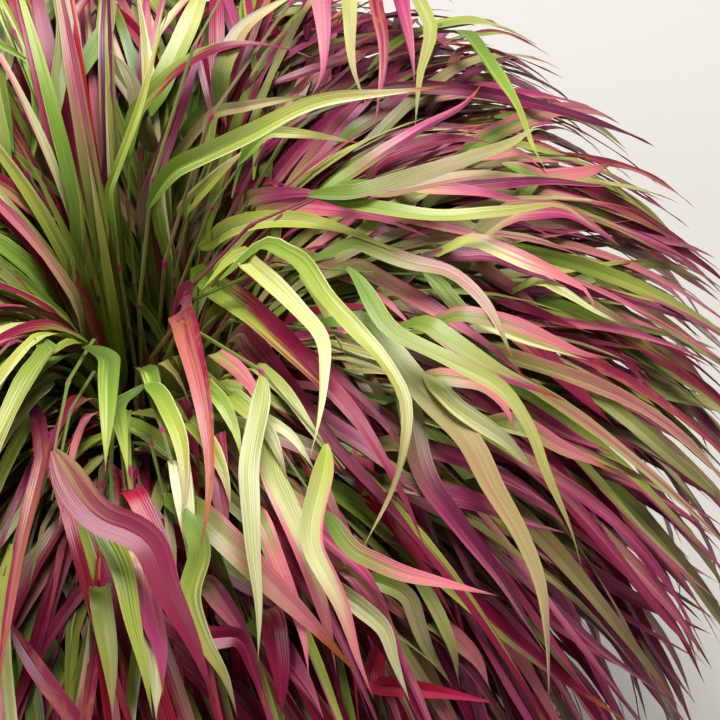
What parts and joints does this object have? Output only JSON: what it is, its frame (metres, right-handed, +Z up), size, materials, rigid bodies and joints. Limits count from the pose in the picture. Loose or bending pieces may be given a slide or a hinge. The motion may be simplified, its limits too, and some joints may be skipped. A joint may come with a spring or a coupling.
{
  "type": "potted ornamental grass",
  "caption": "Round plain pot filled with soil and a dense mound of arching green, cream and wine-red grass blades.",
  "frame": {"origin": "middle of the pot's flat foot, on the surface it stands on", "axes": "+Z up; -Y is the side that the reference view looks from, with +X to its right"},
  "size_m": [0.6037, 0.5747, 0.3736],
  "materials": {
    "green": "satin",
    "pale": "satin",
    "olive": "satin",
    "mauve": "satin",
    "burgundy": "satin",
    "crimson": "satin",
    "terracotta": "matte",
    "potting_soil": "matte"
  },
  "bodies": {
    "root": {"tuft_low_0": "pale", "tuft_mid_0": "green", "tuft_high_0": "green", "tuft_low_1": "burgundy", "tuft_mid_1": "mauve", "tuft_high_1": "burgundy", "tuft_low_2": "burgundy", "tuft_mid_2": "crimson", "tuft_high_2": "olive", "tuft_low_3": "crimson", "tuft_mid_3": "olive", "tuft_high_3": "mauve", "stem_0_0": "green", "stem_0_1": "burgundy", "stem_1_0": "olive", "stem_1_1": "pale", "stem_2_0": "crimson", "stem_2_1": "mauve", "stem_3_0": "green", "stem_3_1": "burgundy", "stem_4_0": "olive", "stem_4_1": "pale", "stem_4_2": "crimson", "stem_4_3": "mauve", "stem_4_4": "green", "stem_4_5": "burgundy", "stem_5_0": "crimson", "stem_5_1": "mauve", "stem_5_2": "green", "stem_5_3": "burgundy", "stem_5_4": "olive", "stem_5_5": "pale", "stem_6_0": "green", "stem_6_1": "burgundy", "stem_6_2": "olive", "stem_6_3": "pale", "stem_6_4": "crimson", "stem_6_5": "mauve", "stem_7_0": "olive", "stem_7_1": "pale", "stem_7_2": "crimson", "stem_7_3": "mauve", "stem_7_4": "green", "stem_7_5": "burgundy", "stem_8_0": "crimson", "stem_8_1": "mauve", "stem_8_2": "green", "stem_8_3": "burgundy", "stem_8_4": "olive", "stem_8_5": "pale", "stem_8_6": "crimson", "stem_9_0": "green", "stem_9_1": "burgundy", "stem_9_2": "olive", "stem_9_3": "pale", "stem_9_4": "crimson", "stem_9_5": "mauve", "stem_9_6": "green", "pot": "terracotta", "soil": "potting_soil"}
  },
  "joints": []
}
